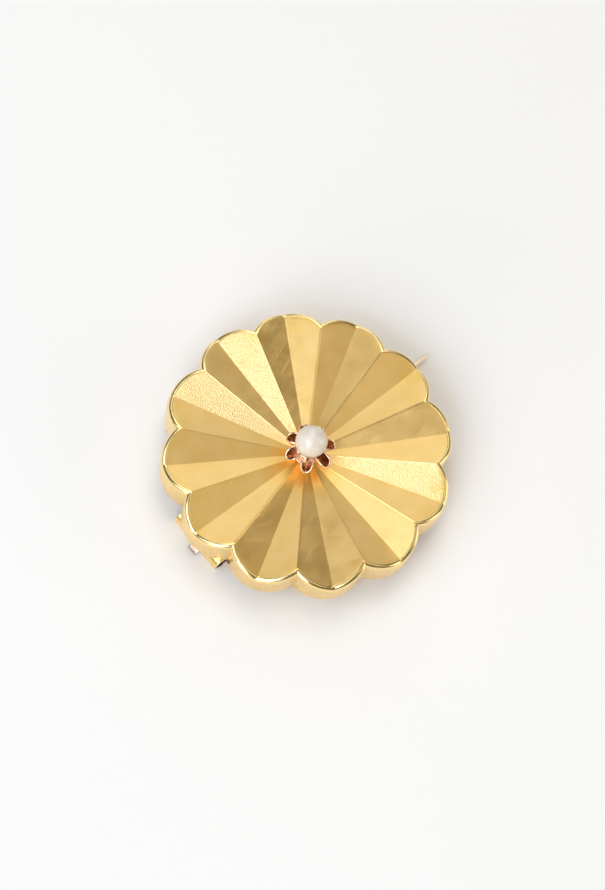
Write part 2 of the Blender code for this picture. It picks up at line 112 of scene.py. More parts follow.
MOST_GLOW_AND_STAIN = 0.7                     # the painted glow and the stains never cover more than this

# Wall
WALL_INSIDE = -0.15 * MM            # inner face of the lip, just outside the sheet's edge
WALL_OUTSIDE = 0.32 * MM
WALL_RISE = 0.04 * MM               # height of the lip above the sheet
WALL_ROUND = 0.43 * MM              # width of the lip's rounding
WALL_ROUND_DROP = 0.50 * MM         # height of the lip's rounding
WALL_EASE = 0.03 * MM
WALL_BUCKLE = 0.010 * MM
WALL_GAP = 0.002 * MM               # the wall starts this far above the back
# Painted shade on the lip's inner face, in the crevice between the wall and the sheet.
WALL_SHADE = 0.3
BACK_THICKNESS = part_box("back_plate")[1][2]
BACK_EASE = 0.08 * MM
BACK_GROOVE = 0.03 * MM             # shallow step around the soldered back
VENT_RADIUS = 0.40 * MM
VENT_Y = -6.0 * MM
VENT_EASE = 0.06 * MM
VENT_FLAT = 0.10 * MM               # the back buckles from this far round the vent
BACK_ROWS = 12

# Setting
PEARL_RADIUS = (PEARL_HIGH[2] - PEARL_LOW[2]) / 2
PEARL_HEIGHT = (PEARL_HIGH[2] + PEARL_LOW[2]) / 2
PEARL_UNEVEN = 0.012                # share of the radius
PEARL_SAMPLE = Vector((3.1, 0.4, 1.7))    # place in the noise that shapes this pearl
FOOT_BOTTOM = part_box("claw_1")[0][2] - 0.20 * MM
FOOT_TOP = FOOT_BOTTOM + 0.16 * MM
CLAWS = 7
CLAW_PHASE = math.radians(15.5)
CLAW_THICKNESS = 0.15 * MM
CLAW_FOOT_DISTANCE = 1.02 * MM
CLAW_FOOT_ARC = 0.27 * MM
CLAW_TOP_ARC = 0.56 * MM
CLAW_LEG = 0.63 * MM
CLAW_GRIP_DROP = 0.85 * MM
CLAW_LIP_DROP = 1.48 * MM
CLAW_CLEARANCE = 0.06 * MM
CLAW_FOOT_GAP = 0.04 * MM
CLAW_FLARE = 1.3                    # above 1, a claw opens mostly near its top
CLAW_LEG_SHARE = 0.25               # share of a claw's half width that is its straight leg
CLAW_LIP = 0.088 * MM               # radius of the bead along a claw's lip
CLAW_UNEVEN = 0.25 * MM             # claws on one side reach further out, as bent by hand
CLAW_LONG_SIDE = math.radians(-117)
CLAW_COLUMNS = 56                   # steps along a claw from leg to leg
CLAW_ROWS = 18                      # steps up each side of a claw
CLAW_LIP_ROWS = 10
CLAW_BOTTOM = 0.001                 # shares of the height where a claw's sides start,
CLAW_REACH = 0.96                   # and that they cover, up to the lip
CLAW_LIP_START = 0.85               # share of the height where a claw starts to thicken
CLAW_LIP_SHARE = 0.15
# Painted shade inside the scoops.
CLAW_SHADE = 0.4
FOOT_RADIUS = CLAW_FOOT_DISTANCE + CLAW_FOOT_ARC + CLAW_THICKNESS / 2
FOOT_EASE = 0.05 * MM
CUP_FLOOR_RADIUS = 0.42 * MM
CUP_INNER_RADIUS = 0.97 * MM
CUP_RADIUS = 1.01 * MM
CUP_EASE = 0.04 * MM
CUP_OUTSIDE = CUP_RADIUS + CUP_EASE
CUP_GAP = 0.08 * MM                 # between the cup's rim and the pearl
SEAT_GAP = 0.04 * MM                # between the cup's floor and the pearl
CUP_HEIGHT = 0.25 * MM
# Painted shade on the cup under the pearl.
CUP_SHADE = 0.7
WAIST_RADIUS = 0.58 * MM
WAIST_FLARE = 0.41 * MM
WAIST_POWER = 1.6                   # above 1, the stem is slimmer for longer
WAIST_STEPS = 12
SPIGOT_RADIUS = 0.45 * MM
SPIGOT_DEPTH = 0.6 * MM

# Hinge, pin and catch
HINGE_X = (NEAR_LOW[0] + NEAR_HIGH[0]) / 2
HINGE_Z = (NEAR_LOW[2] + NEAR_HIGH[2]) / 2
TUBE_RADIUS = (NEAR_HIGH[2] - NEAR_LOW[2]) / 2
TUBE_BORE = 0.60 * MM
TUBE_EASE = 0.07 * MM
BASE_CUT = 1.20 * MM                # the hinge's base ends this far short of its CAD node
BASE_TRIM = 0.1 * MM                # and is this much narrower on each side
BASE_CORNER = 0.5 * MM
BASE_EASE = 0.07 * MM
SOLDER_RUN = 0.10 * MM              # solder spreads this far onto the back
SOLDER_ROWS = 6
CORNER_STEPS = 8
KNUCKLE_Y = -0.30 * MM
KNUCKLE_LENGTH = 2.00 * MM
KNUCKLE_BORE = 0.62 * MM
RIVET_RADIUS = 0.58 * MM
RIVET_DOME = 0.12 * MM
TANG_LENGTH = 1.59 * MM
TANG_THICKNESS = 0.30 * MM
TANG_WIDTH = 1.10 * MM
TANG_DROP = math.radians(29.6)
TANG_EASE = 0.05 * MM
# The tang's far end is painted dark: painted shade and dark reflections.
TANG_SHADE_LENGTH = 0.12 * MM              # length of the dark end
TANG_END_SHADE = 0.9
BORE_SHADE_EDGE = 0.03 * MM       # painted shade starts this far inside a tube's outer face
BORE_SHADE_FADE = 0.10 * MM
PIN_RADIUS = 0.38 * MM
PIN_TIP_RADIUS = 0.03 * MM
PIN_TAPER = 9.0 * MM
PIN_TIP_Y = 1.40 * MM
PIN_ROOT_SINK = 0.08 * MM           # the wire starts this deep in the knuckle
PIN_ROOT_LENGTH = 0.55 * MM
PIN_ROOT_FLARE = 0.14 * MM
PIN_ROOT_STEPS = 8
PIN_SHANK_STEPS = 12
PIN_TAPER_STEPS = 40
HOOK_THICKNESS = 0.36 * MM
HOOK_INNER_RADIUS = 0.52 * MM
HOOK_BEND = math.radians(195)
CATCH_X = (HOOK_LOW[0] + HOOK_HIGH[0]) / 2
CATCH_Y = (CATCH_LOW[1] + CATCH_HIGH[1]) / 2
CATCH_CORNER = 0.45 * MM
HOOK_EASE = 0.10 * MM
HOOK_LEG_STEPS = 8
HOOK_BEND_STEPS = 48
HOOK_END_STEPS = 4
HOOK_END_THIN = 0.6                 # shares of the section that the end's inner rings tend to
HOOK_END_NARROW = 0.92


# ---------------------------------------------------------------- colours and light

SATIN_LIGHT = (1.00, 0.72, 0.30)
SATIN_DEEP = (0.96, 0.62, 0.20)
POLISHED_LIGHT = (1.00, 0.76, 0.35)
POLISHED_DEEP = (0.96, 0.67, 0.26)
ROSE_LIGHT = (1.00, 0.74, 0.54)
ROSE_DEEP = (0.93, 0.60, 0.43)
PIN_LIGHT = (0.96, 0.76, 0.58)
PIN_DEEP = (0.82, 0.60, 0.42)
# Dark colour painted into hollows, bores, crevices and dark ends: painted shade and painted dark
# reflections.
SHADE_COLOUR = (0.20, 0.12, 0.10)
# Orange of the painted glow round the setting's foot, and of the stains near the rim.
GLOW_AND_STAIN_TINT = (0.88, 0.50, 0.05)
# Paler colour painted on the stippled facets: a painted highlight.
STIPPLE_HIGHLIGHT_TINT = (1.00, 0.88, 0.66)
STIPPLE_HIGHLIGHT_SHARE = 0.22                # how far the painted highlight on the stippled facets turns the colour to its tint
STIPPLE_SIZE = 0.10 * MM
STIPPLE_DEPTH = 0.045 * MM
TONE_SIZE = 2.2 * MM
COLOUR_RANGE = (0.32, 0.68)         # range of the mixed noise that the colours span
GLOSS_RANGE = (0.38, 0.62)          # range of the mixed noise that the roughness spans
WORN_GLOSS = 0.75                   # roughness of a worn edge, as a share of the metal's own
SCRATCH_TURNS = (0.4, 1.9, 2.8)     # directions, in radians
SCRATCH_WIDTH = 0.08 * MM
SCRATCH_LENGTH = 5.0 * MM
SCRATCH_PATCH = 4.0 * MM            # scratches come in patches of about this size
SCRATCH_PATCH_SHARE = 0.3
SCRATCH_SOFTNESS = 0.06             # range of noise over which a scratch reaches its full depth
SCRATCH_ROUGHNESS = 0.06
FLATTEN = 200.0                     # drawn-out noise divides heights by this, to run on over slopes
NACRE_LIGHT = (0.84, 0.79, 0.72)
NACRE_DEEP = (0.76, 0.66, 0.57)
FLOOR_LIGHT = (0.945, 0.925, 0.920)
FLOOR_DEEP = (0.925, 0.905, 0.900)
WORLD_COLOUR = (1.00, 0.94, 0.76)
WORLD_STRENGTH = 0.13
HORIZON_STRENGTH = 0.50
HORIZON_HEIGHT = 0.30               # sine of the elevation where the bright horizon has faded

# Softboxes: azimuth and elevation in degrees, how bright each looks, and its tint
WARM = (1.08, 1.00, 0.85)
COOL = (0.90, 1.00, 1.14)
SOFTBOX_SIZE = 0.32
SOFTBOX_DISTANCE = 0.60
SOFTBOXES = {
    "overhead": (45.0, 66.0, 2.80, WARM),
    "left_top": (135.0, 68.0, 0.55, COOL),
    "left_high": (180.0, 66.0, 0.62, COOL),
    "left": (157.5, 42.0, 2.15, COOL),
    "front_left": (202.5, 42.0, 4.20, COOL),
    "low_left": (200.0, 16.0, 2.50, WARM),
    "front_high": (300.0, 60.0, 0.68, WARM),
    "right": (315.0, 18.0, 1.83, WARM),
    "right_high": (22.5, 42.0, 0.63, COOL),
    "back": (45.0, 18.0, 0.85, COOL),
    "back_high": (67.5, 42.0, 0.73, COOL),
}

CAMERA_TARGET = Vector((0.13, 0.86, 2.03)) * MM
CAMERA_AZIMUTH = -60.99
CAMERA_ELEVATION = 68.38
CAMERA_ROLL = 22.71
CAMERA_DISTANCE = 250.0 * MM
CAMERA_LENS = 101.1
CAMERA_SENSOR = 36.0
CAMERA_CLIP = (10 * MM, 10.0)
FLOOR_SIZE = 3.0


# ---------------------------------------------------------------- mesh helpers

def skin(rings, closed=False, caps=False):
    """Cover rings of points with faces; the last ring may join the first, or both be capped."""
    bm = bmesh.new()
    verts = [[bm.verts.new(point) for point in ring] for ring in rings]
    pairs = list(zip(verts, verts[1:]))
    if closed:
        pairs.append((verts[-1], verts[0]))
    for lower, upper in pairs:
        count = len(lower)
        for i in range(count):
            j = (i + 1) % count
            bm.faces.new((lower[i], lower[j], upper[j], upper[i]))
    if caps:
        bm.faces.new(verts[0][::-1])
        bm.faces.new(verts[-1])
    bmesh.ops.recalc_face_normals(bm, faces=bm.faces[:])
    return bm


def circle(radius, height, steps):
    """Points round a circle about Z."""
    points = []
    for i in range(steps):
        angle = FULL_TURN * i / steps
        points.append(Vector((radius * math.cos(angle), radius * math.sin(angle), height)))
    return points


def turned(profile, steps=96, closed=True, caps=False):
    """Turn a profile of (radius, height) points about Z."""
    rings = [circle(radius, height, steps) for radius, height in profile]
    return skin(rings, closed, caps)


def round_corner(centre, radius, start, end, steps=6):
    """Points of an arc in a profile, between two angles in degrees."""
    points = []
    for i in range(steps + 1):
        angle = math.radians(start + (end - start) * i / steps)
        points.append((centre[0] + radius * math.cos(angle), centre[1] + radius * math.sin(angle)))
    return points


def clamped(value):
    """A value held between 0 and 1."""
    return min(1.0, max(0.0, value))


def add_piece(name, bm, material, body, replaced, smooth=40):
    """Finish a mesh as a named piece that rides on a body and stands for CAD nodes."""
    mesh = bpy.data.meshes.new(name)
    bm.to_mesh(mesh)
    bm.free()
    mesh.shade_smooth()
    mesh.set_sharp_from_angle(angle=math.radians(smooth))
    mesh.materials.append(material)
    piece = bpy.data.objects.new(name, mesh)
    bpy.context.scene.collection.objects.link(piece)
    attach(piece, body)
    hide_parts(*replaced)
    return piece


def paint(piece, name, value_at):
    """Store a value for each of a piece's points, which its material reads, such as wear."""
    values = piece.data.attributes.new(name, "FLOAT", "POINT")
    for i, vert in enumerate(piece.data.vertices):
        values.data[i].value = value_at(i, vert.co)


def buckle(point, size, depth):
    """Small smooth unevenness of a hand-made surface."""
    return depth * noise.noise(point / size)


# ---------------------------------------------------------------- material helpers

def start_material(name, metallic, roughness):
    """New material with a Principled shader, its node tree and its object coordinates."""
    material = bpy.data.materials.new(name)
    material.use_nodes = True
    tree = material.node_tree
    shader = tree.nodes["Principled BSDF"]
    shader.inputs["Metallic"].default_value = metallic
    shader.inputs["Roughness"].default_value = roughness
    place = tree.nodes.new("ShaderNodeTexCoord").outputs["Object"]
    return material, tree, shader, place


def painted(tree, name):
    """Value stored on the piece's points; a piece without it has none."""
    attribute = tree.nodes.new("ShaderNodeAttribute")
    attribute.attribute_name = name
    return attribute.outputs["Fac"]


def noise_value(tree, place, size, detail, stretch=None, turn=0.0):
    """Noise with features of the given size; stretch draws it out along one direction."""
    if stretch is not None:
        mapping = tree.nodes.new("ShaderNodeMapping")
        mapping.vector_type = "TEXTURE"
        mapping.inputs["Rotation"].default_value = (0.0, 0.0, turn)
        mapping.inputs["Scale"].default_value = (stretch / size, 1.0, FLATTEN)
        tree.links.new(place, mapping.inputs["Vector"])
        place = mapping.outputs["Vector"]
    texture = tree.nodes.new("ShaderNodeTexNoise")
    texture.inputs["Scale"].default_value = 1.0 / size
    texture.inputs["Detail"].default_value = detail
    tree.links.new(place, texture.inputs["Vector"])
    return texture.outputs["Fac"]


def remapped(tree, value, low, high, to_low, to_high):
    """Map a value's range to another, clamped."""
    ranged = tree.nodes.new("ShaderNodeMapRange")
    tree.links.new(value, ranged.inputs["Value"])
    for socket, number in zip(("From Min", "From Max", "To Min", "To Max"),
                              (low, high, to_low, to_high)):
        ranged.inputs[socket].default_value = number
    return ranged.outputs["Result"]


def combined(tree, operation, first, second):
    """Combine two values, or a value and a number."""
    maths = tree.nodes.new("ShaderNodeMath")
    maths.operation = operation
    for socket, value in zip(maths.inputs, (first, second)):
        if isinstance(value, (int, float)):
            socket.default_value = value
        else:
            tree.links.new(value, socket)
    return maths.outputs["Value"]


def blended(tree, factor, first, second):
    """Blend two colours by a value; either colour may be another node's output."""
    mix = tree.nodes.new("ShaderNodeMix")
    mix.data_type = "RGBA"
    tree.links.new(factor, mix.inputs["Factor"])
    for socket, colour in ((mix.inputs[6], first), (mix.inputs[7], second)):
        if isinstance(colour, tuple):
            socket.default_value = (*colour, 1.0)
        else:
            tree.links.new(colour, socket)
    return mix.outputs[2]


def add_bump(tree, shader, heights):
    """Chain bumps of (height value, depth) into the shader's normal."""
    normal = None
    for height, depth in heights:
        bump = tree.nodes.new("ShaderNodeBump")
        bump.inputs["Strength"].default_value = 1.0
        bump.inputs["Distance"].default_value = depth
        tree.links.new(height, bump.inputs["Height"])
        if normal is not None:
            tree.links.new(normal, bump.inputs["Normal"])
        normal = bump.outputs["Normal"]
    tree.links.new(normal, shader.inputs["Normal"])


def scratches(tree, place, rarity):
    """Scattered fine straight scratches in a few directions, as a value from 0 to 1."""
    total = None
    for turn in SCRATCH_TURNS:
        lines = noise_value(tree, place, SCRATCH_WIDTH, 0.0, SCRATCH_LENGTH, turn)
        patches = noise_value(tree, place, SCRATCH_PATCH, 0.0)
        patches = combined(tree, "MULTIPLY", patches, SCRATCH_PATCH_SHARE)
        lines = combined(tree, "ADD", lines, patches)
        cut = remapped(tree, lines, rarity, rarity + SCRATCH_SOFTNESS, 0.0, 1.0)
        total = cut if total is None else combined(tree, "MAXIMUM", total, cut)
    return total


def evened(tree, first, second):
    """Mean of two values."""
    return combined(tree, "ADD", combined(tree, "MULTIPLY", first, 0.5),
                    combined(tree, "MULTIPLY", second, 0.5))


def metal_colour(tree, mixed, wear_and_highlight, marks, light, deep):
    """Colour from deep to light, paler where cut, and where worn partly as a painted highlight;
    then a painted highlight on stippled facets, a painted glow with stains, and painted shade.
    """
    # Worn lips take the light end of the colour: partly real wear, partly a painted highlight.
    light_share = combined(tree, "MAXIMUM", remapped(tree, mixed, *COLOUR_RANGE, 0.0, 1.0), wear_and_highlight)
    light_share = combined(tree, "MAXIMUM", light_share, marks)
    colour = blended(tree, light_share, deep, light)
    # The stippled facets are painted paler: a painted highlight.
    stipple_highlight = combined(tree, "MULTIPLY", painted(tree, "stipple_and_highlight"), STIPPLE_HIGHLIGHT_SHARE)
    colour = blended(tree, stipple_highlight, colour, STIPPLE_HIGHLIGHT_TINT)
    # Orange tint: a painted glow of reflected light round the setting's foot, and faint stains near
    # the rim.
    colour = blended(tree, painted(tree, "glow_and_stain"), colour, GLOW_AND_STAIN_TINT)
    # Darkening painted where the pieces ask for it: painted shade and painted dark reflections.
    return blended(tree, painted(tree, "painted_shade"), colour, SHADE_COLOUR)


def metal_gloss(tree, mixed, wear_and_highlight, marks, smooth, rough):
    """Roughness between smooth and rough, less where worn and more in scratches."""
    gloss = remapped(tree, mixed, *GLOSS_RANGE, smooth, rough)
    kept = remapped(tree, wear_and_highlight, 0.0, 1.0, 1.0, WORN_GLOSS)
    gloss = combined(tree, "MULTIPLY", gloss, kept)
    return combined(tree, "ADD", gloss, combined(tree, "MULTIPLY", marks, SCRATCH_ROUGHNESS))


def metal(name, light, deep, smooth, rough, grain_size, grain_depth, rarity, scratch_depth):
    """Worked precious metal: varied tone and gloss, a fine grain, scratches, wear, stains, painted
    highlights, a painted glow and painted shade.
    """
    material, tree, shader, place = start_material(name, 1.0, rough)
    wear_and_highlight = painted(tree, "wear_and_highlight")
    tone = noise_value(tree, place, TONE_SIZE, 4.0)
    grain = noise_value(tree, place, grain_size, 2.0)
    marks = scratches(tree, place, rarity)
    mixed = evened(tree, tone, grain)
    colour = metal_colour(tree, mixed, wear_and_highlight, marks, light, deep)
    tree.links.new(colour, shader.inputs["Base Color"])
    gloss = metal_gloss(tree, mixed, wear_and_highlight, marks, smooth, rough)
    tree.links.new(gloss, shader.inputs["Roughness"])
    coarse = combined(tree, "SUBTRACT", noise_value(tree, place, STIPPLE_SIZE, 0.0), 0.5)
    coarse = combined(tree, "MULTIPLY", coarse, painted(tree, "stipple_and_highlight"))
    add_bump(tree, shader, [(grain, grain_depth), (marks, -scratch_depth), (coarse, STIPPLE_DEPTH)])
    return material


def satin_gold():
    """Gold with a fine matt grain, as on the pleated front."""
    return metal("satin_gold", SATIN_LIGHT, SATIN_DEEP, smooth=0.31, rough=0.41,
                 grain_size=0.06 * MM, grain_depth=0.011 * MM,
                 rarity=0.89, scratch_depth=0.004 * MM)


def polished_gold():
    """Bright gold with light wear, as on the wall and the fittings."""
    return metal("polished_gold", POLISHED_LIGHT, POLISHED_DEEP, smooth=0.20, rough=0.32,
                 grain_size=0.20 * MM, grain_depth=0.004 * MM,
                 rarity=0.93, scratch_depth=0.002 * MM)


def rose_gold():
    """Redder gold of the setting and the rivet."""
    return metal("rose_gold", ROSE_LIGHT, ROSE_DEEP, smooth=0.14, rough=0.24,
                 grain_size=0.25 * MM, grain_depth=0.008 * MM,
                 rarity=0.96, scratch_depth=0.002 * MM)


def pin_metal():
    """Harder, pinkish gold of the pin."""
    return metal("pin_metal", PIN_LIGHT, PIN_DEEP, smooth=0.18, rough=0.30,
                 grain_size=0.20 * MM, grain_depth=0.008 * MM,
                 rarity=0.94, scratch_depth=0.002 * MM)


def nacre():
    """Pearl: a pale body, faint growth rings and cloudiness, a soft overtone and a glossy skin."""
    material, tree, shader, place = start_material("nacre", 0.0, 0.22)
    cloud = noise_value(tree, place, 0.9 * MM, 3.0)
    rings = noise_value(tree, place, 0.18 * MM, 2.0, 1.6 * MM, 0.3)
    tone = combined(tree, "ADD", combined(tree, "MULTIPLY", cloud, 0.7),
                    combined(tree, "MULTIPLY", rings, 0.3))
    body = blended(tree, remapped(tree, tone, 0.35, 0.65, 0.0, 1.0), NACRE_DEEP, NACRE_LIGHT)
    tree.links.new(body, shader.inputs["Base Color"])
    gloss = remapped(tree, rings, 0.3, 0.7, 0.34, 0.46)
    tree.links.new(gloss, shader.inputs["Roughness"])
    shader.inputs["Subsurface Weight"].default_value = 0.35
    shader.inputs["Subsurface Radius"].default_value = (1.0, 0.85, 0.65)
    shader.inputs["Subsurface Scale"].default_value = 0.4 * MM
    shader.inputs["Specular IOR Level"].default_value = 0.65
    shader.inputs["Coat Weight"].default_value = 0.8
    shader.inputs["Coat Roughness"].default_value = 0.14
    shader.inputs["Sheen Weight"].default_value = 0.25
    shader.inputs["Sheen Roughness"].default_value = 0.4
    shader.inputs["Sheen Tint"].default_value = (0.96, 0.92, 0.84, 1.0)
    add_bump(tree, shader, [(cloud, 0.006 * MM), (rings, 0.002 * MM)])
    return material


def floor_material():
    """Pale matt paper, seen from above only."""
    material, tree, shader, place = start_material("pale_paper", 0.0, 0.85)
    fibre = noise_value(tree, place, 1.2 * MM, 4.0)
    cloud = noise_value(tree, place, 60 * MM, 2.0)
    tone = blended(tree, remapped(tree, cloud, 0.3, 0.7, 0.0, 1.0), FLOOR_DEEP, FLOOR_LIGHT)
    tree.links.new(tone, shader.inputs["Base Color"])
    shader.inputs["Specular IOR Level"].default_value = 0.2
    add_bump(tree, shader, [(fibre, 0.01 * MM)])
    clear = tree.nodes.new("ShaderNodeBsdfTransparent")
    choose = tree.nodes.new("ShaderNodeMixShader")
    side = tree.nodes.new("ShaderNodeNewGeometry")
    tree.links.new(side.outputs["Backfacing"], choose.inputs["Fac"])
    tree.links.new(shader.outputs["BSDF"], choose.inputs[1])
    tree.links.new(clear.outputs["BSDF"], choose.inputs[2])
    tree.links.new(choose.outputs["Shader"], tree.nodes["Material Output"].inputs["Surface"])
    return material


# ---------------------------------------------------------------- disc

def petal_arc(offset):
    """Centre distance, radius and half angle of a petal's arc, moved outwards by offset."""
    half_chord = NOTCH_RADIUS * math.sin(HALF_PETAL)
    rise = PETAL_RADIUS - NOTCH_RADIUS * math.cos(HALF_PETAL)
    radius = (half_chord ** 2 + rise ** 2) / (2 * rise)
    centre = PETAL_RADIUS - radius
    radius += offset
    across = centre * math.sin(HALF_PETAL)
    meet = centre * math.cos(HALF_PETAL) + math.sqrt(radius ** 2 - across ** 2)
    half_angle = math.atan2(meet * math.sin(HALF_PETAL), meet * math.cos(HALF_PETAL) - centre)
    return centre, radius, half_angle


def outline_point(step, offset):
    """Point of the scalloped outline; step counts along all the petals' arcs from a notch."""
    petal, part = divmod(step, ARC_STEPS)
    centre, radius, half_angle = petal_arc(offset)
    share = 2 * part / ARC_STEPS - 1
    share += ARC_CROWDING * math.sin(math.pi * share) / math.pi
    angle = half_angle * share
    point = Vector((centre + radius * math.cos(angle), radius * math.sin(angle)))
    point.rotate(Matrix.Rotation(petal * PETAL_ANGLE, 2))
    return point


def outline(offset):
    """The whole scalloped outline, moved outwards by offset."""
    return [outline_point(step, offset) for step in range(PETALS * ARC_STEPS)]


def eased(value, ease):
    """A value's size, rounded off near zero."""
    return math.sqrt(value * value + ease * ease)


def pleat_height(point):
    """Height of the front's top: ridges run to the notches and valleys to the petals' middles."""
    reach = max(point.length, CREASE_INNERMOST)
    turn = abs(math.remainder(math.atan2(point.y, point.x), PETAL_ANGLE))
    to_ridge = HALF_PETAL - turn
    rounded_off = eased(to_ridge, RIDGE_EASE / reach) - to_ridge
    from_valley = eased(turn, VALLEY_EASE / reach) - rounded_off
    ridge_slope = (NOTCH_HEIGHT - CENTRE_HEIGHT) / NOTCH_RADIUS
    valley_slope = (VALLEY_HEIGHT - CENTRE_HEIGHT) / PETAL_RADIUS
    slope = ridge_slope * math.sin(from_valley) + valley_slope * math.sin(HALF_PETAL - from_valley)
    return CENTRE_HEIGHT + point.length * slope / math.sin(HALF_PETAL)


def front_point(point, drop=0.0):
    """Point of the front's surface, with its creases rounded and its slight buckling."""
    height = pleat_height(point)
    fade = min(1.0, point.length / CREASE_START)
    to_ridge = HALF_PETAL - abs(math.remainder(math.atan2(point.y, point.x), PETAL_ANGLE))
    height += fade * RIDGE_BEAD * math.exp(-(point.length * to_ridge / RIDGE_BEAD_WIDTH) ** 2)
    height += fade * buckle(Vector((point.x, point.y, 3 * MM)), BUCKLE_SIZE, BUCKLE_DEPTH)
    return Vector((point.x, point.y, height - drop))


def stipple_and_highlight_share(point):
    """1 on the facets with a coarser matt and a painted highlight, else 0."""
    facet = int(math.atan2(point.y, point.x) % FULL_TURN / HALF_PETAL)
    return float(facet in STIPPLED_HIGHLIGHT_FACETS)


def glow_and_stain_share(point):
    """Share of the orange tint: a painted glow of reflected light on the lit side of the setting's
    foot, and faint stains at the rim.
    """
    near, far = GLOW_REACH
    reach = math.hypot(point.x, point.y)
    fade = clamped((far - reach) / (far - near))
    side = 0.5 + 0.5 * math.cos(math.atan2(point.y, point.x) - GLOW_SIDE)
    at_rim = clamped(1 - (PETAL_RADIUS - reach) / STAIN_REACH)
    stain = at_rim * max(0.0, noise.noise(point / STAIN_SIZE) + 0.1)
    return min(MOST_GLOW_AND_STAIN, GLOW_SHARE * fade * side + STAIN_SHARE * stain)


def make_front(material):
    """Pleated sheet with rounded creases and an eased edge."""
    rows = []
    inner_rim = outline(-FRONT_INSET - FRONT_EASE)
    for row in range(FRONT_ROWS + 1):
        share = row / FRONT_ROWS
        ring = []
        for rim in inner_rim:
            start = rim.normalized() * FRONT_HOLE
            ring.append(front_point(start.lerp(rim, share)))
        rows.append(ring)
    for i in range(1, FRONT_EDGE_STEPS + 1):
        angle = math.radians(90) * i / FRONT_EDGE_STEPS
        offset = -FRONT_INSET - FRONT_EASE * (1 - math.sin(angle))
        drop = FRONT_EASE * (1 - math.cos(angle))
        rows.append([front_point(point, drop) for point in outline(offset)])
    rows.append([front_point(point, FRONT_THICKNESS) for point in outline(-FRONT_INSET)])
    bm = skin(rows)
    front = add_piece("pleated_sheet", bm, material, "brooch", ("fluted_front",), 20)
    # Coarser matt on some facets, which are also painted paler as a painted highlight.
    paint(front, "stipple_and_highlight", lambda i, place: stipple_and_highlight_share(place))
    # Painted glow round the setting's foot, and stains near the rim.
    paint(front, "glow_and_stain", lambda i, place: glow_and_stain_share(place))


def wall_profile(top):
    """Section of the wall as (offset, height): up its outer face and down its inner face."""
    bottom = BACK_THICKNESS + WALL_GAP
    profile = [(WALL_OUTSIDE, bottom)]
    side_steps = 4
    side_top = top - WALL_ROUND_DROP
    for i in range(1, side_steps):
        share = i / side_steps
        profile.append((WALL_OUTSIDE, BACK_THICKNESS + (side_top - BACK_THICKNESS) * share))
    for out, up in round_corner((0.0, 0.0), 1.0, 0, 90, 12):
        offset = WALL_OUTSIDE - WALL_ROUND * (1 - out)
        profile.append((offset, side_top + WALL_ROUND_DROP * up))
    profile += round_corner((WALL_INSIDE + WALL_EASE, top - WALL_EASE), WALL_EASE, 90, 180, 3)
    profile.append((WALL_INSIDE, bottom))
    return profile


def dished(point, place, offset, top):
    """How far a point of the wall's side is pressed inwards, fading out towards its edges."""
    share = (place.z - BACK_THICKNESS) / (top - BACK_THICKNESS)
    fade = max(0.0, 4 * share * (1 - share)) * (offset > WALL_OUTSIDE / 2)
    inward = -point.normalized() * fade * (WALL_BUCKLE + buckle(place, BUCKLE_SIZE, WALL_BUCKLE))
    return Vector((inward.x, inward.y, 0.0))


def make_wall(material):
    """Scalloped wall with a rounded top edge that follows the pleats."""
    tops = [pleat_height(point) + WALL_RISE for point in outline(WALL_INSIDE)]
    profiles = [wall_profile(top) for top in tops]
    rows = []
    for step, profile in enumerate(profiles):
        row = []
        for offset, height in profile:
            point = outline_point(step, offset)
            place = Vector((point.x, point.y, height))
            row.append(place + dished(point, place, offset, tops[step]))
        rows.append(row)
    bm = skin(rows, closed=True)
    wall = add_piece("scalloped_wall", bm, material, "brooch", ("rim_wall",), 50)
    points = len(rows[0])
    lip = range(5, points - 4)
    inner_face = range(points - 2, points)
    # The lip's rounding is glossier from wear and painted lighter as a painted highlight.
    paint(wall, "wear_and_highlight", lambda i, place: float(i % points in lip))
    # The lip's inner face is painted dark: painted shade in the crevice by the sheet.
    paint(wall, "painted_shade", lambda i, place: WALL_SHADE * float(i % points in inner_face))


def back_ring(offset, height):
    """Outline of the back plate at one height."""
    return [Vector((point.x, point.y, height)) for point in outline(offset)]


def vent_ring(radius, height):
    """Ring round the vent hole, with a point for each point of the outline."""
    ring = []
    for point in outline(0.0):
        way = (point - Vector((0.0, VENT_Y))).normalized()
        ring.append(Vector((radius * way.x, VENT_Y + radius * way.y, height)))
    return ring


def back_face(share):
    """Ring between the vent and the rim on the plate's outer face, slightly buckled."""
    rim = back_ring(WALL_OUTSIDE - 6 * BACK_EASE, BACK_GROOVE)
    hole = vent_ring(VENT_RADIUS + VENT_FLAT, BACK_GROOVE)
    ring = []
    for outer, inner in zip(rim, hole):
        point = inner.lerp(outer, share)
        point.z -= (0.5 + noise.noise(point / BUCKLE_SIZE)) * BACK_GROOVE * 0.5 * (1 - share)
        ring.append(point)
    return ring


def make_back(material):
    """Back plate: eased outer edge, a shallow step inside it and a rounded vent hole."""
    rows = [back_ring(offset, BACK_THICKNESS) for offset in (WALL_OUTSIDE - 0.4 * MM, WALL_OUTSIDE)]
    for offset, height in round_corner((WALL_OUTSIDE - BACK_EASE, BACK_EASE), BACK_EASE, 0, -90):
        rows.append(back_ring(offset, height))
    rows.append(back_ring(WALL_OUTSIDE - 5 * BACK_EASE, 0.0))
    rows += [back_face(1 - i / BACK_ROWS) for i in range(BACK_ROWS + 1)]
    vent_corner = (VENT_RADIUS + VENT_EASE, BACK_GROOVE + VENT_EASE)
    for radius, height in round_corner(vent_corner, VENT_EASE, 270, 180, 4):
        rows.append(vent_ring(radius, height))
    rows.append(vent_ring(VENT_RADIUS, BACK_THICKNESS))
    bm = skin(rows, closed=True)
    add_piece("soldered_back", bm, material, "brooch", ("back_plate",), 50)


# ---------------------------------------------------------------- setting

